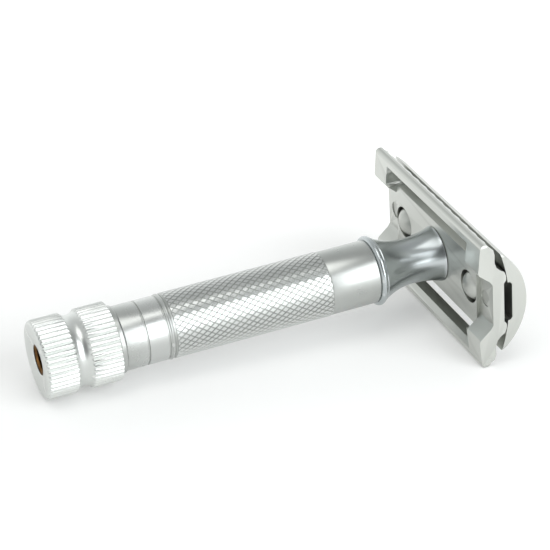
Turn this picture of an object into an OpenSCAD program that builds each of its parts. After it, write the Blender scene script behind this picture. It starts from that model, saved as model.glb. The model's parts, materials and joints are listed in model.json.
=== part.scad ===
// Two-piece double-edge safety razor, lying on its knob and one guard bar.
// The handle runs along +X towards the head, the head is long along Y, +Z is up.
// Each piece is drawn with the handle axis on Z, then laid down by lay_down().

/* [Handle] */
// outside diameter of the plain handle tube
tube_d = 11.8; // [10:0.1:14]
// outside diameter of the knurled grip
grip_d = 12.0; // [10:0.1:14]
// where the tube starts
tube_z0 = 16.3; // [12:0.1:20]
// where the tube meets the neck
tube_z1 = 65.05; // [50:0.05:100]
// start of the knurled grip
grip_z0 = 25.6; // [20:0.1:35]
// end of the knurled grip
grip_z1 = 55.7; // [45:0.1:90]
// bore of the tube
tube_bore_d = 8.8; // [7:0.1:10]
// width of the two ring grooves in the lower band
groove_w = 0.3; // [0.2:0.05:0.6]
// depth of the ring grooves
groove_depth = 0.15; // [0.05:0.05:0.4]

/* [Knob] */
// where the knob's end face lies
knob_z0 = 1.25; // [0:0.05:3]
// diameter over the flute crests
knob_d = 14.4; // [12:0.1:18]
// depth of the flutes
flute_depth = 0.45; // [0.2:0.05:0.8]
// number of flutes
flute_n = 44; // [30:1:60]
// where the knob meets the collar
knob_z1 = 15.15; // [10:0.05:20]
// start of the smooth waist between the fluted rings
waist_z0 = 7.0; // [5:0.1:9]
// end of the smooth waist
waist_z1 = 9.8; // [8:0.1:12]
// depth of the waist
waist_depth = 0.7; // [0.4:0.05:1.5]
// rounding of the knob's end edge
knob_edge_r = 0.9; // [0.5:0.1:3]
// diameter of the shallow dish in the end face
dish_d = 9.4; // [7:0.1:11]
// depth of the dish where it meets the sleeve's bore
dish_depth = 0.4; // [0.1:0.05:0.8]
// how far the sleeve sits back from the end face
sleeve_back = 0.65; // [0.4:0.05:2]
// bore of the brass sleeve seen in the end face
socket_d = 5.0; // [4:0.1:6]
// outside diameter of the brass sleeve
sleeve_d = 7.2; // [6:0.1:8]
// depth of the open socket below the end face
socket_depth = 6.5; // [4:0.1:9]

/* [Collar] */
// diameter of the thin collar between knob and tube
collar_d = 12.4; // [12:0.1:15]
// length of the bush inside the tube
bush_len = 7.7; // [5:0.1:12]
// diameter of the thrust washer
washer_d = 10.8; // [8:0.1:12]
// thickness of the thrust washer
washer_t = 0.55; // [0.3:0.05:1]

/* [Drive rod] */
// diameter of the drive rod
rod_d = 5.0; // [4:0.1:6]
// diameter of the shoulder that keeps the rod in the handle
shoulder_d = 7.8; // [6:0.1:8.5]
// radial running clearance of turning pieces
run_gap = 0.05; // [0.02:0.01:0.1]
// diameter of the threaded draw nut
nut_d = 6.4; // [6:0.1:7]
// length of the draw nut
nut_len = 11.8; // [8:0.1:14]

/* [Neck] */
// diameter of the rounded lip at the tube
lip_d = 13.1; // [12:0.1:15]
// rounding of the lip, half its width
lip_r = 0.6; // [0.4:0.05:0.9]
// diameter of the waist of the trumpet
neck_waist_d = 8.5; // [8:0.1:10]
// height of the waist along the handle
neck_waist_z = 72.8; // [70:0.1:76]
// radius of the lower hollow curve
neck_r_low = 12.0; // [8:0.5:20]
// radius of the upper hollow curve
neck_r_top = 18.5; // [12:0.5:30]
// end of the neck, where the guard plate sits
neck_z1 = 78.7; // [76:0.1:82]

/* [Head] */
// length of the head
head_len = 43.4; // [41:0.1:46]
// width over the two guard bars
guard_w = 25.1; // [23:0.1:28]
// rounding of the guard bars' outer edge
bar_tip_r = 0.85; // [0.5:0.05:1.2]
// height of the bar tips' centre along the handle
bar_tip_z = 77.9; // [76:0.1:80]
// cap side of the plate's middle web
web_z1 = 81.6; // [80:0.1:83]
// half width of the web between the slots
web_hw = 6.75; // [5:0.05:8]
// inner edge of the guard bars
bar_in = 10.0; // [9:0.05:11]
// length of the lather slots
slot_len = 33.2; // [28:0.2:38]
// rounding of the slot ends
slot_r = 0.8; // [0.4:0.1:1.4]
// number of shallow scallops along each guard bar
scallop_n = 13; // [8:1:30]
// radius of each scallop
scallop_r = 8.3; // [3:0.1:12]
// depth of each scallop in the bar's crest
scallop_depth = 0.18; // [0.05:0.01:0.3]
// top of the cap's crown
cap_z1 = 86.05; // [84:0.05:88]
// radius of the cap's crown
cap_r = 12.5; // [11:0.1:16]
// radius of the cap's hollow underside
cap_under_r = 32; // [20:1:60]
// height of the cap's underside on the axis, before the channel
cap_under_z = 82.6; // [82:0.05:84]
// half width of the cap
cap_hw = 9.95; // [9:0.05:11]
// half width of the channel under the cap
channel_hw = 3.9; // [3:0.1:5]
// roof of the channel
channel_z = 83.2; // [82.5:0.1:84]
// distance of each locating pin from the middle
pin_y = 13.5; // [11:0.1:16]
// diameter of the locating pins
pin_d = 5.3; // [3.5:0.1:5.8]
// diameter of the pin holes in the plate
pin_hole_d = 6.2; // [5:0.1:7]
// end of the domed pins
pin_z0 = 77.8; // [77:0.1:80]

/* [Stud] */
// nominal diameter of the stud's thread
stud_d = 4.9; // [4:0.1:6]
// pitch of the thread
stud_pitch = 0.8; // [0.5:0.05:1]
// free end of the stud
stud_z0 = 70.8; // [68:0.1:76]
// end of the stud inside the cap
stud_z1 = 84.8; // [83.5:0.1:85.5]

/* [Hidden] */
$fn = 96;
e = 0.02;
knob_r = knob_d / 2;
edge_s = knob_z0 + knob_edge_r;
edge_c = knob_r - knob_edge_r;
tip_v = guard_w / 2 - bar_tip_r;
// tilt that rests the knob's edge and the guard bar on one plane
span_s = bar_tip_z - edge_s;
span_v = tip_v - edge_c;
pitch = atan2(span_v, span_s) + asin((bar_tip_r - knob_edge_r) / sqrt(span_s * span_s + span_v * span_v));
cap_c = cap_z1 - cap_r;
off_z = knob_edge_r + edge_c * cos(pitch) - edge_s * sin(pitch);
x_min = edge_s * cos(pitch) - edge_c * sin(pitch) - knob_edge_r;
x_max = cap_c * cos(pitch) + cap_r;
off_x = -(x_min + x_max) / 2;
collar_z0 = knob_z1 + run_gap;
bush_z1 = tube_z0 + bush_len;
nut_z1 = neck_z1 - 0.4;
nut_z0 = nut_z1 - nut_len;
spigot_d = 6.4;
ring_d = 7.6;
spigot_z1 = web_z1 + 0.8;
scallop_off = scallop_r - scallop_depth;
sleeve_z0 = knob_z0 + sleeve_back;
socket_z1 = knob_z0 + socket_depth;
rod_z0 = socket_z1 + 1;
stem_d = 3.6;
stem_len = 3.0;
thread_depth = 0.35;

chrome = [0.80, 0.81, 0.81];
satin = [0.74, 0.75, 0.75];
brass = [0.78, 0.62, 0.32];
steel = [0.62, 0.63, 0.65];
nylon = [0.90, 0.89, 0.84];

module lay_down() {
    translate([off_x, 0, off_z]) rotate([0, 90 - pitch, 0]) children();
}

// a section drawn across the head, run along the head's length
module along_head(len) {
    rotate([90, 0, 0]) linear_extrude(height = len, center = true) children();
}

module round_rect(w, h, r) {
    union() {
        square([w - 2 * r, h], center = true);
        square([w, h - 2 * r], center = true);
        for (i = [-1, 1], j = [-1, 1]) translate([i * (w / 2 - r), j * (h / 2 - r)]) circle(r);
    }
}

module mirrored() {
    children();
    mirror([1, 0]) children();
}

// ---- knob ----

// ring outline seen along the axis: sharp crests with small flats and V roots
module flute_outline() {
    polygon([for (i = [0 : flute_n - 1], k = [0 : 2])
        let (a = (i + [-0.14, 0.14, 0.5][k]) * 360 / flute_n)
        let (r = k < 2 ? knob_r + 0.05 : knob_r - flute_depth)
        [r * cos(a), r * sin(a)]]);
}

module knob_profile() {
    ring_ch = 0.5;
    difference() {
        union() {
            translate([0, edge_s]) square([knob_r, knob_z1 - edge_s]);
            translate([0, knob_z0]) square([edge_c, knob_edge_r + e]);
            translate([edge_c, edge_s]) circle(knob_edge_r);
        }
        // hollow waist with a chamfer on each ring
        waist_mid = (waist_z0 + waist_z1) / 2;
        half = (waist_z1 - waist_z0) / 2;
        cove_r = (half * half + waist_depth * waist_depth) / (2 * waist_depth);
        translate([knob_r - waist_depth + cove_r, waist_mid]) circle(cove_r);
        translate([knob_r, knob_z1]) rotate(45) square(ring_ch * 1.414, center = true);
        // dished end, the bore for the sleeve and the washer seat
        polygon([[-e, knob_z0 - e], [dish_d / 2, knob_z0 - e], [dish_d / 2 - 0.5, knob_z0 + dish_depth * 0.5],
                 [sleeve_d / 2, knob_z0 + dish_depth], [-e, knob_z0 + dish_depth]]);
        translate([-e, 0]) square([sleeve_d / 2 + e, knob_z1]);
        translate([0, collar_z0 - washer_t]) square([washer_d / 2 + 0.1, washer_t + 1]);
    }
}

module knob() {
    color(chrome) lay_down() intersection() {
        rotate_extrude() knob_profile();
        linear_extrude(height = knob_z1 + 1) flute_outline();
    }
}

// open socket below, a thin web, and the seat of the drive rod above
module knob_sleeve() {
    top = collar_z0 - washer_t;
    color(brass) lay_down() difference() {
        translate([0, 0, sleeve_z0]) cylinder(d = sleeve_d, h = top - sleeve_z0);
        translate([0, 0, sleeve_z0 - 1]) cylinder(d = socket_d, h = socket_z1 - sleeve_z0 + 1);
        translate([0, 0, sleeve_z0 - e]) cylinder(d1 = socket_d + 0.8, d2 = socket_d, h = 0.4);
        translate([0, 0, rod_z0]) cylinder(d = rod_d, h = 20);
    }
}

// ---- bearing ----

module thrust_washer() {
    color(nylon) lay_down() translate([0, 0, collar_z0 - washer_t]) difference() {
        cylinder(d = washer_d, h = washer_t);
        translate([0, 0, -1]) cylinder(d = rod_d + 0.4, h = washer_t + 2);
    }
}

module collar() {
    color(chrome) lay_down() translate([0, 0, collar_z0]) difference() {
        union() {
            rotate_extrude() union() {
                square([collar_d / 2 - 0.3, tube_z0 - collar_z0]);
                translate([0, 0.3]) square([collar_d / 2, tube_z0 - collar_z0 - 0.6]);
                for (z = [0.3, tube_z0 - collar_z0 - 0.3]) translate([collar_d / 2 - 0.3, z]) circle(0.3);
            }
            cylinder(d = tube_bore_d, h = bush_z1 - collar_z0);
        }
        translate([0, 0, -1]) cylinder(d = rod_d + 2 * run_gap, h = bush_len + 5);
    }
}

// ---- drive rod ----

module drive_rod() {
    color(brass) lay_down() rotate_extrude() {
        translate([0, rod_z0]) square([rod_d / 2, nut_z0 - rod_z0]);
        translate([0, bush_z1 + run_gap]) square([shoulder_d / 2, 1.5]);
        translate([0, nut_z0 - 1]) square([stem_d / 2, stem_len + 1]);
    }
}

module draw_nut() {
    color(brass) lay_down() translate([0, 0, nut_z0]) difference() {
        cylinder(d = nut_d, h = nut_len);
        translate([0, 0, -1]) cylinder(d = stem_d, h = stem_len + 1.5);
        translate([0, 0, stem_len]) cylinder(d = stud_d + 2 * run_gap, h = nut_len);
        translate([0, 0, nut_len - 0.5]) cylinder(d1 = stud_d + 2 * run_gap, d2 = stud_d + 0.9, h = 0.5 + e);
    }
}

// ---- handle ----

module handle_tube() {
    r = tube_d / 2;
    edge = 0.25;
    color(satin) lay_down() rotate_extrude() difference() {
        union() {
            translate([0, tube_z0]) square([r, tube_z1 - tube_z0]);
            translate([0, grip_z0]) square([grip_d / 2, grip_z1 - grip_z0]);
            // raised rim below the grip
            translate([r - 0.3, 24.9]) circle(0.42);
        }
        translate([-1, tube_z0 - 1]) square([tube_bore_d / 2 + 1, tube_z1 - tube_z0 + 2]);
        for (z = [20.35, 24.25]) translate([r - groove_depth, z - groove_w / 2]) square([1, groove_w]);
        for (z = [tube_z0, tube_z1]) translate([r, z]) rotate(45) square(edge * 1.414, center = true);
        for (z = [grip_z0, grip_z1]) translate([grip_d / 2, z]) rotate(45) square(0.14, center = true);
    }
}

module neck_profile() {
    waist_r = neck_waist_d / 2;
    lip_z = tube_z1 + lip_r;
    difference() {
        union() {
            translate([0, tube_z1 - 6]) square([tube_bore_d / 2, 7]);
            // rounded lip
            translate([0, tube_z1]) square([lip_d / 2 - lip_r, 2 * lip_r]);
            translate([lip_d / 2 - lip_r, lip_z]) circle(lip_r);
            // trumpet body, hollowed from both ends to the waist
            difference() {
                translate([0, tube_z1 + 1]) square([lip_d / 2 - lip_r + 0.1, neck_z1 - tube_z1 - 1]);
                intersection() {
                    translate([waist_r + neck_r_low, neck_waist_z]) circle(neck_r_low, $fn = 180);
                    translate([0, neck_waist_z - 20]) square([20, 20]);
                }
                intersection() {
                    translate([waist_r + neck_r_top, neck_waist_z]) circle(neck_r_top, $fn = 180);
                    translate([0, neck_waist_z - e]) square([20, 20]);
                }
            }
            translate([0, neck_z1 - 1]) square([spigot_d / 2, spigot_z1 - neck_z1 + 1]);
        }
        // keep the lip round on top and clear the bores
        translate([-1, 0]) square([nut_d / 2 + run_gap + 1, neck_z1 - 0.2]);
        translate([-1, 0]) square([stud_d / 2 + 0.2 + 1, 100]);
        translate([5.14, neck_z1]) rotate(45) square(0.35, center = true);
    }
}

module neck() {
    color(chrome) lay_down() rotate_extrude() neck_profile();
}

// ---- head ----

module retaining_ring() {
    color(steel) lay_down() translate([0, 0, web_z1]) difference() {
        cylinder(d = ring_d, h = spigot_z1 - web_z1);
        translate([0, 0, -1]) cylinder(d = spigot_d, h = 3);
    }
}

// half of the plate's end profile: web, blade rail, recess, guard bar, shoulder
module plate_half() {
    union() {
        polygon([[-e, 79.4], [4.1, 79.4], [4.9, 78.9], [6.7, 76.8], [7.3, 76.6], [tip_v + 0.09, bar_tip_z - 0.845],
                 [tip_v, bar_tip_z], [11.75, 78.9], [11.3, 79.6], [10.3, 79.85], [8.5, 79.85], [7.5, 80.2],
                 [6.8, 80.9], [6.3, 81.7], [5.4, 82.05], [4.5, 82.05], [channel_hw, web_z1], [-e, web_z1]]);
        translate([tip_v, bar_tip_z]) circle(bar_tip_r);
    }
}

module guard_plate() {
    color(satin) lay_down() difference() {
        union() {
            intersection() {
                along_head(head_len) mirrored() plate_half();
                linear_extrude(height = 100) round_rect(guard_w + 1, head_len, 1.0);
            }
            translate([-web_hw, -slot_len / 2, neck_z1]) cube([2 * web_hw, slot_len, 1.5]);
        }
        // relief under the web, between the end shoulders
        translate([-web_hw - e, -slot_len / 2, 70]) cube([2 * web_hw + 2 * e, slot_len, neck_z1 - 70]);
        // lather slots with a flared outer edge
        for (i = [-1, 1]) translate([i * (web_hw + bar_in) / 2, 0, 70])
            linear_extrude(height = 20) round_rect(bar_in - web_hw, slot_len, slot_r);
        along_head(slot_len) mirrored() polygon([[bar_in - 0.5, 76], [bar_in - 0.5, 77.8], [bar_in, 77.8],
                                                [bar_in + 1.1, 76.87], [bar_in + 1.1, 76]]);
        // hole for the neck's spigot and holes for the cap's pins
        cylinder(d = spigot_d, h = 100);
        for (j = [-1, 1]) translate([0, j * pin_y, 0]) cylinder(d = pin_hole_d, h = 100);
        // shallow round marks outboard of the pin holes
        for (j = [-1, 1]) translate([0, j * 18.7, 79.4]) cylinder(d = 3.2, h = 0.36, center = true);
        // scallops along the cap side of each bar
        for (i = [-1, 1], k = [0 : scallop_n - 1])
            translate([i * (11.3 + 0.515 * scallop_off), (k - (scallop_n - 1) / 2) * head_len / scallop_n,
                       79.6 + 0.857 * scallop_off])
                rotate([0, i * 121, 0]) cylinder(r = scallop_r, h = 6, center = true);
    }
}

module cap_section() {
    difference() {
        intersection() {
            translate([0, cap_c]) circle(cap_r, $fn = 360);
            translate([-cap_hw, 80]) square([2 * cap_hw, 10]);
        }
        translate([0, cap_under_z - cap_under_r]) circle(cap_under_r, $fn = 720);
        polygon([[-channel_hw, 80], [-channel_hw, channel_z - 0.4], [-channel_hw + 0.5, channel_z],
                 [channel_hw - 0.5, channel_z], [channel_hw, channel_z - 0.4], [channel_hw, 80]]);
    }
}

module pin_shape() {
    dome = 1.5;
    r = pin_d / 2;
    dome_r = (r * r + dome * dome) / (2 * dome);
    intersection() {
        translate([0, pin_z0]) square([r, channel_z + 0.5 - pin_z0]);
        union() {
            translate([0, pin_z0 + dome_r]) circle(dome_r);
            translate([0, pin_z0 + dome]) square([r, 8]);
        }
    }
}

module cap() {
    color(chrome) lay_down() difference() {
        union() {
            intersection() {
                along_head(head_len) cap_section();
                linear_extrude(height = 100) round_rect(2 * cap_hw + 1, head_len, 1.3);
            }
            for (j = [-1, 1]) translate([0, j * pin_y, 0]) rotate_extrude() pin_shape();
        }
        translate([0, 0, 75]) cylinder(d = stud_d, h = stud_z1 - 75);
    }
}

module cap_stud() {
    r = stud_d / 2;
    n = floor((81 - stud_z0 - 0.6) / stud_pitch);
    color(steel) lay_down() rotate_extrude() difference() {
        translate([0, stud_z0]) square([r, stud_z1 - stud_z0]);
        for (k = [0 : n - 1]) let (z = stud_z0 + 0.9 + k * stud_pitch)
            polygon([[r + e, z - 0.33], [r + e, z + 0.33], [r - thread_depth, z]]);
        translate([r, stud_z0]) rotate(45) square(0.7, center = true);
    }
}

cap();
cap_stud();
guard_plate();
retaining_ring();
neck();
handle_tube();
collar();
thrust_washer();
knob();
knob_sleeve();
drive_rod();
draw_nut();
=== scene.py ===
# %% [markdown]
# A double-edge safety razor lies on the edge of its knob and on one guard bar. Its solids come
# packed, all in one frame in metres, and they stay where they are. This script remakes the pieces
# whose detail is too fine for the solids, gives every piece its surface, and lights it as a small
# studio would.

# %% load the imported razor
import json
import math
import bpy
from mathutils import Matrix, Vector


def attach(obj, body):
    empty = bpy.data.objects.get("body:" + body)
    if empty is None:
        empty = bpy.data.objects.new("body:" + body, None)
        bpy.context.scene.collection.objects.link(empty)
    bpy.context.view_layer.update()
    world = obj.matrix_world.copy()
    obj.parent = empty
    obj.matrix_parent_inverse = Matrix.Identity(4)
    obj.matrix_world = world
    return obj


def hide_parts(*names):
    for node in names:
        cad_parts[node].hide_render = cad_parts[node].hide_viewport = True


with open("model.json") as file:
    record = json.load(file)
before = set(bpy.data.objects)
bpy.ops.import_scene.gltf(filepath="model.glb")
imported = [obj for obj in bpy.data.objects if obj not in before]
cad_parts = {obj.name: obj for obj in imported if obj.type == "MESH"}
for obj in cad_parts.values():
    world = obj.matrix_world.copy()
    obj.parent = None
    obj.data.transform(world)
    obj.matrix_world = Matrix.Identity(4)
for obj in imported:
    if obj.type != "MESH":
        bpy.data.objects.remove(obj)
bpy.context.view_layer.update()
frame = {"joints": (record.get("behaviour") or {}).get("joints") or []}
MM = 0.001

# %% [markdown]
# The handle leans about 4 degrees, so turned parts are easiest to make upright on the world's Z
# axis, with heights in millimetres along the handle, and laid down at the end. The knob's joint
# gives the axis: its point lies where the knob's end face is, 1.25 mm up the handle's own scale.

# %% the handle axis
KNOB_END = 1.25
knob_turn = [j for j in frame["joints"] if j["name"] == "knob_turn"][0]
axis_dir = -Vector(knob_turn["axis"]).normalized()
pitch = math.asin(axis_dir.z)
axis_zero = Vector(knob_turn["pos_m"]) - axis_dir * KNOB_END * MM
print("handle axis rises", round(math.degrees(pitch), 3), "degrees from",
      [round(v / MM, 2) for v in axis_zero])

# %% [markdown]
# Small helpers come next. An operator acts on everything that is selected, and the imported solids
# are selected after loading, so each piece is first made the only selected one. Edges and vertices
# are chosen in code by their place, then the edit operators shape them as they would by hand.

# %% selecting
def only(piece):
    """Make one piece the only selected one, in object mode."""
    if bpy.context.object and bpy.context.object.mode != "OBJECT":
        bpy.ops.object.mode_set(mode="OBJECT")
    bpy.ops.object.select_all(action="DESELECT")
    piece.select_set(True)
    bpy.context.view_layer.objects.active = piece


def choose(piece, kind, test):
    """Select the vertices, edges or faces of a piece whose centre passes the test."""
    bpy.ops.object.mode_set(mode="EDIT")
    bpy.ops.mesh.select_mode(type={"vertices": "VERT", "edges": "EDGE", "polygons": "FACE"}[kind])
    bpy.ops.mesh.select_all(action="DESELECT")
    bpy.ops.object.mode_set(mode="OBJECT")
    mesh = piece.data
    for item in getattr(mesh, kind):
        if kind == "vertices":
            centre = item.co
        else:
            centre = sum((mesh.vertices[i].co for i in item.vertices), Vector()) / len(item.vertices)
        item.select = test(centre, item)
    bpy.ops.object.mode_set(mode="EDIT")


def lay_down(piece):
    """Turn an upright piece onto the handle axis and put its place in its mesh."""
    only(piece)
    piece.rotation_euler = (0, math.pi / 2 - pitch, 0)
    piece.location = axis_zero
    bpy.ops.object.transform_apply(location=True, rotation=True, scale=True)


def finish_piece(piece, body, angle=30):
    """Shade it smooth up to an angle, and say which body it moves with."""
    only(piece)
    bpy.ops.object.shade_smooth_by_angle(angle=math.radians(angle))
    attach(piece, body)
    print(piece.name, len(piece.data.polygons), "faces on", body)


# %% [markdown]
# A turned part is made as on a lathe: one ring of vertices is pulled along the axis and resized at
# every step of the outline, and the last ring meets the first, which closes the wall. An outline
# is a list of height and radius in millimetres. Rounded corners are arcs, cut into short steps.

# %% turning a part
def arc(centre_s, centre_r, radius, start, end, steps):
    """Points of a rounded corner; angles in degrees, 0 points away from the axis, 90 along it."""
    turns = [math.radians(start + (end - start) * i / steps) for i in range(steps + 1)]
    return [(centre_s + radius * math.sin(a), centre_r + radius * math.cos(a)) for a in turns]


def turned(name, outline, segments=192):
    """A closed outline of height and radius, swept round the upright axis."""
    s, r = outline[0]
    bpy.ops.object.select_all(action="DESELECT")
    bpy.ops.mesh.primitive_circle_add(vertices=segments, radius=r * MM, location=(0, 0, s * MM))
    piece = bpy.context.object
    piece.name = name
    bpy.ops.object.transform_apply(location=True, rotation=False, scale=False)
    bpy.ops.object.mode_set(mode="EDIT")
    bpy.ops.mesh.select_all(action="SELECT")
    for next_s, next_r in outline[1:] + outline[:1]:
        bpy.ops.mesh.extrude_region_move(TRANSFORM_OT_translate={"value": (0, 0, (next_s - s) * MM)})
        if abs(next_r - r) > 1e-6:
            k = next_r / r
            bpy.ops.transform.resize(value=(k, k, 1), center_override=(0, 0, next_s * MM))
        s, r = next_s, next_r
    bpy.ops.mesh.select_all(action="SELECT")
    bpy.ops.mesh.remove_doubles(threshold=2e-7)
    bpy.ops.mesh.normals_make_consistent(inside=False)
    bpy.ops.object.mode_set(mode="OBJECT")
    print(name, "turned:", len(outline), "rings,", len(piece.data.vertices), "vertices")
    return piece


# %% [markdown]
# The knurl is a grip of small diamonds, rolled into the tube by two hardened wheels. It could be a
# bump in the material, but the diamonds show in the outline and catch the light one by one, so
# they are modelled. A flat grid is poked, its own straight edges are dissolved, and what is left
# is a net of diamonds. Each is inset and raised to a pad, the pad is poked so that it can follow
# the round, and the sheet is bent into a sleeve.

# %% knurl
GRIP_R, GRIP_S0, GRIP_S1 = 6.0, 25.6, 55.7
KNURL_DEPTH = 0.11
ROOT_R = GRIP_R - KNURL_DEPTH
ROUND, ALONG = 34, 19

bpy.ops.object.select_all(action="DESELECT")
bpy.ops.mesh.primitive_grid_add(x_subdivisions=ROUND, y_subdivisions=ALONG, size=2)
knurl = bpy.context.object
knurl.name = "knurl"
half_x, half_y = math.pi * ROOT_R * MM, (GRIP_S1 - GRIP_S0) / 2 * MM
knurl.scale = (half_x, half_y, 1)
bpy.ops.object.transform_apply(location=False, rotation=False, scale=True)
bpy.ops.object.mode_set(mode="EDIT")
bpy.ops.mesh.select_all(action="SELECT")
bpy.ops.mesh.poke()
bpy.ops.object.mode_set(mode="OBJECT")


def grid_line(centre, edge):
    a, b = [knurl.data.vertices[i].co for i in edge.vertices]
    straight = abs(a.x - b.x) < 1e-7 or abs(a.y - b.y) < 1e-7
    border = abs(abs(centre.x) - half_x) < 1e-7 or abs(abs(centre.y) - half_y) < 1e-7
    return straight and not border


choose(knurl, "edges", grid_line)
bpy.ops.mesh.dissolve_edges(use_verts=False)
bpy.ops.mesh.select_all(action="SELECT")
bpy.ops.mesh.inset(use_individual=True, thickness=0.09 * MM, depth=KNURL_DEPTH * MM)
bpy.ops.mesh.poke()
# the border edges get the tube's own ring of vertices, so that both can be joined
choose(knurl, "edges", lambda c, edge: abs(abs(c.y) - half_y) < 1e-7 and abs(c.z) < 1e-7
       and abs(abs(c.x) - half_x) > 1e-7)
bpy.ops.mesh.subdivide(number_cuts=3)
bpy.ops.object.mode_set(mode="OBJECT")
knurl.rotation_euler = (math.pi / 2, 0, 0)
bpy.ops.object.transform_apply(location=False, rotation=True, scale=False)
bend = knurl.modifiers.new("round", "SIMPLE_DEFORM")
bend.deform_method = "BEND"
bend.deform_axis = "Z"
bend.angle = 2 * math.pi
bpy.ops.object.modifier_apply(modifier=bend.name)
knurl.location = (0, -ROOT_R * MM, (GRIP_S0 + GRIP_S1) / 2 * MM)
bpy.ops.object.transform_apply(location=True, rotation=False, scale=False)
radii = [math.hypot(v.co.x, v.co.y) / MM for v in knurl.data.vertices]
print("knurl radius", round(min(radii), 3), "to", round(max(radii), 3),
      "faces", len(knurl.data.polygons))

# %% [markdown]
# The tube is turned round the knurl: a plain band with two ring grooves below the grip, a raised
# rim, a plain band above, and a bore. The outline leaves the grip as a bare wall, which is
# deleted, and the sleeve of diamonds is welded into its place.

# %% handle tube
TUBE_R, BORE_R = 5.9, 4.4
TUBE_S0, TUBE_S1 = 16.3, 65.05


def ring_groove(s):
    """A groove with a flat floor and eased rims, half its width w and its depth d."""
    w, d = 0.17, 0.16
    return [(s - w - 0.05, TUBE_R), (s - w, TUBE_R - 0.03), (s - w + 0.06, TUBE_R - d),
            (s, TUBE_R - d - 0.01), (s + w - 0.06, TUBE_R - d), (s + w, TUBE_R - 0.03),
            (s + w + 0.05, TUBE_R)]


tube_outline = ([(TUBE_S0, BORE_R)] + arc(TUBE_S0 + 0.15, TUBE_R - 0.15, 0.15, -90, 0, 6)
                + ring_groove(20.35) + ring_groove(24.25)
                + [(24.55, TUBE_R)] + arc(24.9, 5.72, 0.32, -55, 90, 7)
                + [(25.35, 5.72), (25.35, 5.84), (25.58, 5.84), (GRIP_S0, ROOT_R), (GRIP_S1, ROOT_R)]
                + [(55.74, 5.86)] + [(55.85, TUBE_R)]
                + arc(TUBE_S1 - 0.15, TUBE_R - 0.15, 0.15, 0, 90, 6)
                + [(TUBE_S1, BORE_R)])
tube = turned("handle_tube_turned", tube_outline, ROUND * 4)
choose(tube, "polygons", lambda c, face: GRIP_S0 * MM < c.z < GRIP_S1 * MM
       and abs(face.normal.z) < 0.1 and math.hypot(c.x, c.y) > 5.5 * MM
       and face.area > 5 * MM * MM)
bpy.ops.mesh.delete(type="FACE")
bpy.ops.object.mode_set(mode="OBJECT")
only(tube)
knurl.select_set(True)
bpy.ops.object.join()
bpy.ops.object.mode_set(mode="EDIT")
bpy.ops.mesh.select_mode(type="EDGE")
bpy.ops.mesh.select_all(action="SELECT")
bpy.ops.mesh.remove_doubles(threshold=2e-6)
bpy.ops.mesh.select_all(action="DESELECT")
bpy.ops.mesh.select_non_manifold()
bpy.ops.object.mode_set(mode="OBJECT")
print("open edges left on the tube:", sum(e.select for e in tube.data.edges))
lay_down(tube)
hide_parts("handle_tube")
finish_piece(tube, "handle", 20)

# %% [markdown]
# The neck is a small trumpet: a round lip at the tube, a hollow curve down to its waist, and a
# wider curve up to the plate. It is one turned casting, so it is turned here too, with many short
# steps so that its highlights run smoothly.

# %% neck
WAIST_S, WAIST_R, NECK_END = 72.8, 4.25, 78.7


def hollow(radius, start_s, end_s, steps):
    """The trumpet's curve: an arc whose lowest point is the waist."""
    heights = [start_s + (end_s - start_s) * i / steps for i in range(steps + 1)]
    return [(s, WAIST_R + radius - math.sqrt(radius ** 2 - (s - WAIST_S) ** 2)) for s in heights]


neck_outline = ([(65.06, 3.3), (65.06, 5.75)] + arc(65.66, 5.95, 0.6, -90, 62, 14)
                + [(66.2, 6.04), (66.32, 5.99)]
                + hollow(12.0, 66.5, WAIST_S, 20) + hollow(18.5, WAIST_S, NECK_END - 0.35, 16)[1:]
                + arc(NECK_END - 0.25, 4.97, 0.25, 20, 90, 4) + [(NECK_END, 3.3)])
neck = turned("neck_turned", neck_outline)
lay_down(neck)
finish_piece(neck, "handle")
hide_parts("neck")

# %% [markdown]
# The knob is turned first, with its dished end, rounded edge and smooth waist, and its straight
# flutes are then pressed in. Every flute takes six of the ring's vertices. The ones at its root
# and flanks are pulled towards the axis on every ring that is wider than the root, so the flutes
# run out in the rounded edges by themselves, as the cutter leaves them.

# %% knob
KNOB_R, FLUTES, PER_FLUTE = 7.2, 44, 6
FLUTE_DEPTH = 0.37
# depth of each of a flute's vertices, as a share of the full depth, from crest to root and back
FLUTE_SHAPE = [0.0, 0.12, 0.52, 1.0, 0.52, 0.12]


def waist(start_s, end_s, steps):
    """The smooth hollow between the two fluted rings, one arc."""
    mid, half, depth = (start_s + end_s) / 2, (end_s - start_s) / 2, 0.75
    radius = (half ** 2 + depth ** 2) / (2 * depth)
    heights = [start_s + (end_s - start_s) * i / steps for i in range(steps + 1)]
    return [(s, KNOB_R - depth + radius - math.sqrt(radius ** 2 - (s - mid) ** 2)) for s in heights]


knob_outline = ([(1.88, 2.8), (1.75, 2.8)] + arc(1.75, 2.95, 0.12, -160, -90, 3)
                + [(1.58, 3.3), (1.52, 3.8), (1.42, 4.3), (1.32, 4.7), (1.26, 5.1), (1.25, 5.6)]
                + arc(2.15, 6.3, 0.9, -90, 0, 10)
                + [(4.6, 7.2)] + waist(6.85, 9.95, 18)
                + [(12.5, 7.2)] + arc(14.97, 7.02, 0.18, 0, 90, 4)
                + [(15.15, 5.5), (14.65, 5.5), (14.65, 3.6), (1.88, 3.6)])
knob = turned("knob_fluted", knob_outline, FLUTES * PER_FLUTE)


def flute_place(co):
    """Which of a flute's six vertices this is, counted from the crest."""
    return round((math.degrees(math.atan2(co.y, co.x)) - 90) / 360 * FLUTES * PER_FLUTE) % PER_FLUTE


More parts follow.
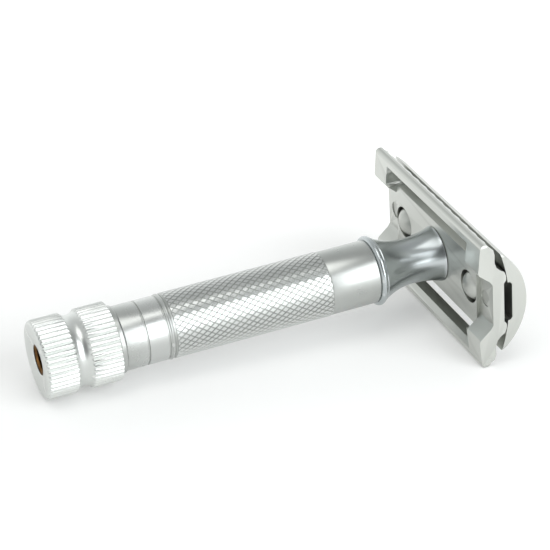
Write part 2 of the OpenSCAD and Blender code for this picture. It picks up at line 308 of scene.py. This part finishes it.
rings = sorted({round(v.co.z / MM, 4) for v in knob.data.vertices
                if math.hypot(v.co.x, v.co.y) > 6.7 * MM})
for share in sorted(set(FLUTE_SHAPE[1:])):
    places = [i for i, d in enumerate(FLUTE_SHAPE) if d == share]
    target = KNOB_R - FLUTE_DEPTH * share
    for ring in rings:
        choose(knob, "vertices", lambda c, v: abs(c.z / MM - ring) < 1e-3 and flute_place(c) in places
               and math.hypot(c.x, c.y) > target * MM + 1e-7)
        bpy.ops.object.mode_set(mode="OBJECT")
        picked = [v.co for v in knob.data.vertices if v.select]
        if picked:
            k = target * MM / math.hypot(picked[0].x, picked[0].y)
            bpy.ops.object.mode_set(mode="EDIT")
            bpy.ops.transform.resize(value=(k, k, 1), center_override=(0, 0, ring * MM))
            bpy.ops.object.mode_set(mode="OBJECT")
print("flutes:", FLUTES, "on", len(rings), "rings")
lay_down(knob)
finish_piece(knob, "drive", 40)
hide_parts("knob")

# %% [markdown]
# Two pieces of the head are castings with many flats, holes and scallops. Their solids already
# have the right shape, but every edge is razor sharp, and plating never leaves an edge like that.
# A copy of each is merged into one skin, its flat triangles are dissolved into whole faces, and
# its edges are bevelled.

# %% castings with softened edges
def softened(node, name, width, body):
    """A merged and bevelled copy of a CAD node; width in millimetres."""
    piece = bpy.data.objects.new(name, bpy.data.objects[node].data.copy())
    bpy.context.scene.collection.objects.link(piece)
    piece.data.materials.clear()
    only(piece)
    bpy.ops.object.mode_set(mode="EDIT")
    bpy.ops.mesh.select_mode(type="FACE")
    bpy.ops.mesh.select_all(action="SELECT")
    bpy.ops.mesh.remove_doubles(threshold=2e-6)
    bpy.ops.mesh.dissolve_limited(angle_limit=math.radians(0.6))
    bpy.ops.object.mode_set(mode="OBJECT")
    bevel = piece.modifiers.new("soft edges", "BEVEL")
    bevel.width = width * MM
    bevel.segments = 2
    bevel.limit_method = "ANGLE"
    bevel.angle_limit = math.radians(28)
    bevel.use_clamp_overlap = True
    bevel.harden_normals = False
    bpy.ops.object.modifier_apply(modifier=bevel.name)
    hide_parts(node)
    finish_piece(piece, body, 32)
    # the big flats keep one normal each, and the bevels take up all the turn
    weighted = piece.modifiers.new("flat faces stay flat", "WEIGHTED_NORMAL")
    weighted.keep_sharp = True
    weighted.weight = 100
    bpy.ops.object.modifier_apply(modifier=weighted.name)
    return piece


plate = softened("guard_plate", "guard_plate_cast", 0.12, "handle")
cap = softened("cap", "cap_cast", 0.10, "head")

# %% [markdown]
# Colours are written as sRGB hex values, the way a paint chart gives them, and turned to the
# linear values that shaders want. One helper adds a node with its settings and its links, and
# three small ones build on it: a noise of a given size, the rings of a lathe, and a ramp from a
# noise to a range.

# %% colours and nodes
def colour(code):
    parts = [int(code[i:i + 2], 16) / 255 for i in (0, 2, 4)]
    return tuple(c / 12.92 if c <= 0.04045 else ((c + 0.055) / 1.055) ** 2.4 for c in parts) + (1.0,)


def add_node(material, kind, settings=None, inputs=None):
    """One node: settings are its own options, inputs are values or the sockets that feed it."""
    tree = material.node_tree
    node = tree.nodes.new(kind)
    for key, value in (settings or {}).items():
        setattr(node, key, value)
    for key, value in (inputs or {}).items():
        if isinstance(value, bpy.types.NodeSocket):
            tree.links.new(value, node.inputs[key])
        else:
            node.inputs[key].default_value = value
    return node


def new_material(name):
    material = bpy.data.materials.new(name)
    material.use_nodes = True
    return material, material.node_tree.nodes["Principled BSDF"]


def noise(material, place, size_mm, detail):
    return add_node(material, "ShaderNodeTexNoise", {},
                    {"Vector": place, "Scale": 1 / (size_mm * MM), "Detail": detail})


def lathe_rings(material, place, ring_mm):
    """Noise that changes only along the handle's axis, as a turning tool leaves it."""
    level = add_node(material, "ShaderNodeMapping", {}, {"Vector": place, "Rotation": (0, pitch, 0)})
    along = add_node(material, "ShaderNodeSeparateXYZ", {}, {"Vector": level.outputs["Vector"]})
    rings = add_node(material, "ShaderNodeTexNoise", {"noise_dimensions": "1D"},
                     {"W": along.outputs["X"], "Scale": 1 / (ring_mm * MM), "Detail": 2.0})
    return rings.outputs["Fac"]


def ramp_between(material, source, low, high):
    """Stretch a noise that mostly lies between 0.3 and 0.7 over low to high."""
    ramp = add_node(material, "ShaderNodeMapRange", {},
                    {"Value": source, "From Min": 0.3, "From Max": 0.7,
                     "To Min": low, "To Max": high})
    return ramp.outputs["Result"]


# %% [markdown]
# The visible metal is die-cast zinc and brass tube, blasted with fine glass beads and chrome
# plated. The beads leave dimples of about a tenth of a millimetre under a thin bright coat, so it
# looks silky: soft broad highlights, with a faint grain. Chrome reflects a little over half of the
# light and is nearly neutral, a touch cool. Handling polishes it in patches of some millimetres.
# Turned pieces also keep fine rings from the lathe, which are drawn along the handle axis by
# turning the pattern to it.

# %% chrome
def chrome(name, tint, dull, bright, gloss_low, gloss_high, grain_mm, dimple, ring_mm=0, ring=0.0):
    """Plated metal: three tints, a range of roughness, the beads' dimples, any lathe rings, in mm."""
    material, metal = new_material(name)
    place = add_node(material, "ShaderNodeTexCoord").outputs["Object"]
    patches = noise(material, place, 4.0, 3.0)
    grain = noise(material, place, grain_mm, 2.0)
    # worn edges: convex places are rubbed brighter and smoother
    edges = add_node(material, "ShaderNodeNewGeometry").outputs["Pointiness"]
    worn = add_node(material, "ShaderNodeMapRange", {},
                    {"Value": edges, "From Min": 0.515, "From Max": 0.56})
    shade = add_node(material, "ShaderNodeMix", {"data_type": "RGBA"},
                     {"Factor": patches.outputs["Fac"], "A": colour(dull), "B": colour(tint)})
    final = add_node(material, "ShaderNodeMix", {"data_type": "RGBA"},
                     {"Factor": worn.outputs["Result"], "A": shade.outputs["Result"],
                      "B": colour(bright)})
    material.node_tree.links.new(final.outputs["Result"], metal.inputs["Base Color"])
    gloss = ramp_between(material, patches.outputs["Fac"], gloss_low, gloss_high)
    rough = add_node(material, "ShaderNodeMath", {"operation": "SUBTRACT"}, {0: gloss})
    rubbed = add_node(material, "ShaderNodeMath", {"operation": "MULTIPLY"},
                      {0: worn.outputs["Result"], 1: 0.06})
    material.node_tree.links.new(rubbed.outputs["Value"], rough.inputs[1])
    material.node_tree.links.new(rough.outputs["Value"], metal.inputs["Roughness"])
    bump = add_node(material, "ShaderNodeBump", {},
                    {"Height": grain.outputs["Fac"], "Strength": 0.35, "Distance": dimple * MM})
    if ring:
        bump = add_node(material, "ShaderNodeBump", {},
                        {"Height": lathe_rings(material, place, ring_mm), "Strength": 0.5,
                         "Distance": ring * MM, "Normal": bump.outputs["Normal"]})
    material.node_tree.links.new(bump.outputs["Normal"], metal.inputs["Normal"])
    metal.inputs["Metallic"].default_value = 1.0
    print(name, "roughness", gloss_low, "to", gloss_high)
    return material


# the cast head: soft and greyish, hardly a highlight, so that its shapes read by their shading
satin = chrome("satin chrome, bead blasted", "BEC0BB", "B5B7B2", "CCCEC9", 0.33, 0.40, 0.14, 0.005)
# the tube: long soft highlights, crossed by lathe rings too fine to count
turned_satin = chrome("satin chrome, turned and blasted", "B9BBB8", "B0B3B0", "CDCFCD", 0.27, 0.33,
                      0.14, 0.003, 0.11, 0.0010)
# the knob: a lighter copy of the same chrome, a painted highlight that makes it the whitest piece
fluted = chrome("satin chrome, new from the bath", "D9DBD8", "CFD2CF", "E8EAE7", 0.29, 0.35,
                0.14, 0.003)
# the neck: darker and glossier than the rest, with crisp light and dark streaks
bright = chrome("chrome over fine turned casting", "BDC2C3", "B5BBBC", "CED1D2", 0.21, 0.27,
                0.2, 0.003, 0.15, 0.0008)


def give(piece, material):
    """The piece's one material, instead of any it had."""
    piece.data.materials.clear()
    piece.data.materials.append(material)


for piece, material in ((tube, turned_satin), (neck, bright), (knob, fluted), (plate, satin),
                        (cap, satin)):
    give(piece, material)

# %% [markdown]
# The sleeve, rod and nut are plain turned brass: warm, with rings from the tool a fifth of a
# millimetre apart, and random patches of a dark brown that is partly tarnish and partly a painted
# shade for the sleeve's deep bore. The stud and its ring are plain steel, and the washer is natural
# nylon, a slightly waxy off-white.

# %% brass, steel and nylon
def turned_metal(name, clean, stained_and_shaded, gloss_low, gloss_high, ring_mm, ring):
    """Bare metal off the lathe, with random patches between two tints and rings across the axis; on
    brass the darker tint is partly a painted shade.
    """
    material, metal = new_material(name)
    place = add_node(material, "ShaderNodeTexCoord").outputs["Object"]
    # painted shade: on brass the dark patches of this noise also stand in for the shade down the bore
    stain_and_shade_noise = noise(material, place, 1.8, 4.0)
    spread = ramp_between(material, stain_and_shade_noise.outputs["Fac"], 0.0, 1.0)
    shade = add_node(material, "ShaderNodeMix", {"data_type": "RGBA"},
                     {"Factor": spread, "A": colour(clean), "B": colour(stained_and_shaded)})
    material.node_tree.links.new(shade.outputs["Result"], metal.inputs["Base Color"])
    material.node_tree.links.new(ramp_between(material, stain_and_shade_noise.outputs["Fac"], gloss_low, gloss_high),
                                 metal.inputs["Roughness"])
    bump = add_node(material, "ShaderNodeBump", {},
                    {"Height": lathe_rings(material, place, ring_mm), "Strength": 0.6,
                     "Distance": ring * MM})
    material.node_tree.links.new(bump.outputs["Normal"], metal.inputs["Normal"])
    metal.inputs["Metallic"].default_value = 1.0
    print(name, "done")
    return material


# brass in random patches from a dull yellow to a dark brown: partly tarnish, partly a painted shade
# for the deep bore
brass = turned_metal("bare brass, turned", "8F683C", "35251A", 0.25, 0.45, 0.2, 0.01)
# plain grey steel with fine rings
steel = turned_metal("stainless steel, turned", "B9BABB", "A2A4A6", 0.2, 0.32, 0.15, 0.006)

nylon, body = new_material("nylon, natural")
place = add_node(nylon, "ShaderNodeTexCoord").outputs["Object"]
cloud = noise(nylon, place, 2.5, 3.0)
tone = add_node(nylon, "ShaderNodeMix", {"data_type": "RGBA"},
                {"Factor": cloud.outputs["Fac"], "A": colour("E4E1D6"), "B": colour("EFEDE6")})
nylon.node_tree.links.new(tone.outputs["Result"], body.inputs["Base Color"])
nylon.node_tree.links.new(ramp_between(nylon, cloud.outputs["Fac"], 0.38, 0.5),
                          body.inputs["Roughness"])
body.inputs["IOR"].default_value = 1.53
body.inputs["Subsurface Weight"].default_value = 0.1
body.inputs["Subsurface Scale"].default_value = 0.5 * MM

for node, material in (("knob_sleeve", brass), ("drive_rod", brass), ("draw_nut", brass),
                       ("cap_stud", steel), ("retaining_ring", steel), ("thrust_washer", nylon),
                       ("collar", turned_satin)):
    slots = bpy.data.objects[node].data.materials
    for i in range(len(slots)):
        slots[i] = material

# %% [markdown]
# The camera looks down on the razor from the left of its front, 29 degrees above the table and 40
# cm away. Its lens is long, so the razor keeps nearly parallel sides.

# %% camera
target = Vector((0.00308, 0.00003, 0.01471))
azimuth = math.radians(-22.481)
elevation = math.radians(28.659)
distance = 0.40325
back = Vector((math.sin(azimuth) * math.cos(elevation),
               -math.cos(azimuth) * math.cos(elevation), math.sin(elevation)))
lens = bpy.data.cameras.new("camera")
camera = bpy.data.objects.new("camera", lens)
bpy.context.scene.collection.objects.link(camera)
camera.location = target + back * distance
camera.rotation_euler = back.to_track_quat("Z", "Y").to_euler()
lens.sensor_width = 36
lens.lens = 147.07
lens.clip_start = 0.01
bpy.context.scene.camera = camera
print("camera at", [round(v, 4) for v in camera.location])

# %% [markdown]
# The studio is a white table with a painted glow of its own, under two soft boxes. Metal shows
# little of its own, only what is round it, so the boxes are placed for their reflections: the wide
# one in front draws the long highlight down the handle, the one overhead a thinner second line, and
# the room is darker in the two directions that the neck and the knob's waist mirror. Its far wall
# is brighter, for the pale band along the top of the handle. Colours are shown without a film
# curve, so that the white table stays white.

# %% floor and lights
bpy.context.scene.view_settings.view_transform = "Standard"
bpy.ops.object.select_all(action="DESELECT")
bpy.ops.mesh.primitive_plane_add(size=3, location=(0, 0, 0))
floor = bpy.context.object
floor.name = "floor"
paper, sheet = new_material("white table, matt laminate")
sheet.inputs["Base Color"].default_value = colour("E9E9E8")
# painted light: the table is given an emission of its own, though it is no lamp
sheet.inputs["Emission Color"].default_value = colour("FFFFFF")
# painted light: the table's glow is 0.2 within 15 mm of the razor's line and rises to 0.45 from 80 mm
# out, on both long sides
place = add_node(paper, "ShaderNodeTexCoord").outputs["Object"]
across = add_node(paper, "ShaderNodeSeparateXYZ", {}, {"Vector": place})
aside = add_node(paper, "ShaderNodeMath", {"operation": "ABSOLUTE"}, {0: across.outputs["Y"]})
painted_glow = add_node(paper, "ShaderNodeMapRange", {"interpolation_type": "SMOOTHSTEP"},
                {"Value": aside.outputs["Value"], "From Min": 15 * MM, "From Max": 80 * MM,
                 "To Min": 0.2, "To Max": 0.45})
paper.node_tree.links.new(painted_glow.outputs["Result"], sheet.inputs["Emission Strength"])
sheet.inputs["Roughness"].default_value = 0.9
give(floor, paper)


def soft_box(name, toward, away, size, radiance, tint):
    """A rectangular light that faces the razor; toward is its direction, size its width and height."""
    light = bpy.data.lights.new(name, "AREA")
    light.shape = "RECTANGLE"
    light.size, light.size_y = size
    light.energy = radiance * math.pi * size[0] * size[1]
    light.color = tint
    lamp = bpy.data.objects.new(name, light)
    bpy.context.scene.collection.objects.link(lamp)
    toward = Vector(toward).normalized()
    lamp.location = toward * away
    lamp.rotation_euler = toward.to_track_quat("Z", "Y").to_euler()
    return lamp


soft_box("front box", (0.40, -0.765, 0.47), 0.65, (0.60, 0.58), 2.75, (0.95, 0.975, 1.0))
soft_box("top box", (-0.18, -0.20, 1.0), 0.8, (0.46, 0.56), 1.75, (1.0, 1.0, 0.985))

world = bpy.data.worlds.new("grey room")
bpy.context.scene.world = world
world.use_nodes = True
room = world.node_tree.nodes["Background"]
room.inputs["Color"].default_value = (0.975, 1.0, 1.0, 1)
ray = add_node(world, "ShaderNodeTexCoord").outputs["Generated"]


def room_part(facing, near, far, at_near, at_far):
    """Brightness of the room by the angle, in degrees, from one direction."""
    turn = add_node(world, "ShaderNodeVectorMath", {"operation": "DOT_PRODUCT"},
                    {0: ray, 1: Vector(facing).normalized()})
    fade = add_node(world, "ShaderNodeMapRange", {"interpolation_type": "SMOOTHSTEP"},
                    {"Value": turn.outputs["Value"], "To Min": at_far, "To Max": at_near,
                     "From Min": math.cos(math.radians(far)),
                     "From Max": math.cos(math.radians(near))})
    return fade.outputs["Result"]


# a dim ceiling, then a dark corner left of the camera, another beyond the head, and a bright wall
# behind
brightness = room_part((0, 0, 1), 25, 88, 0.55, 1.0)
for lobe in (((-0.33, -0.82, 0.47), 12, 42, 0.25, 1.0), ((0.93, -0.30, 0.20), 22, 55, 0.35, 1.0),
             ((0.10, 0.92, 0.38), 15, 60, 1.28, 1.0)):
    product = add_node(world, "ShaderNodeMath", {"operation": "MULTIPLY"},
                       {0: brightness, 1: room_part(*lobe)})
    brightness = product.outputs["Value"]
world.node_tree.links.new(brightness, room.inputs["Strength"])
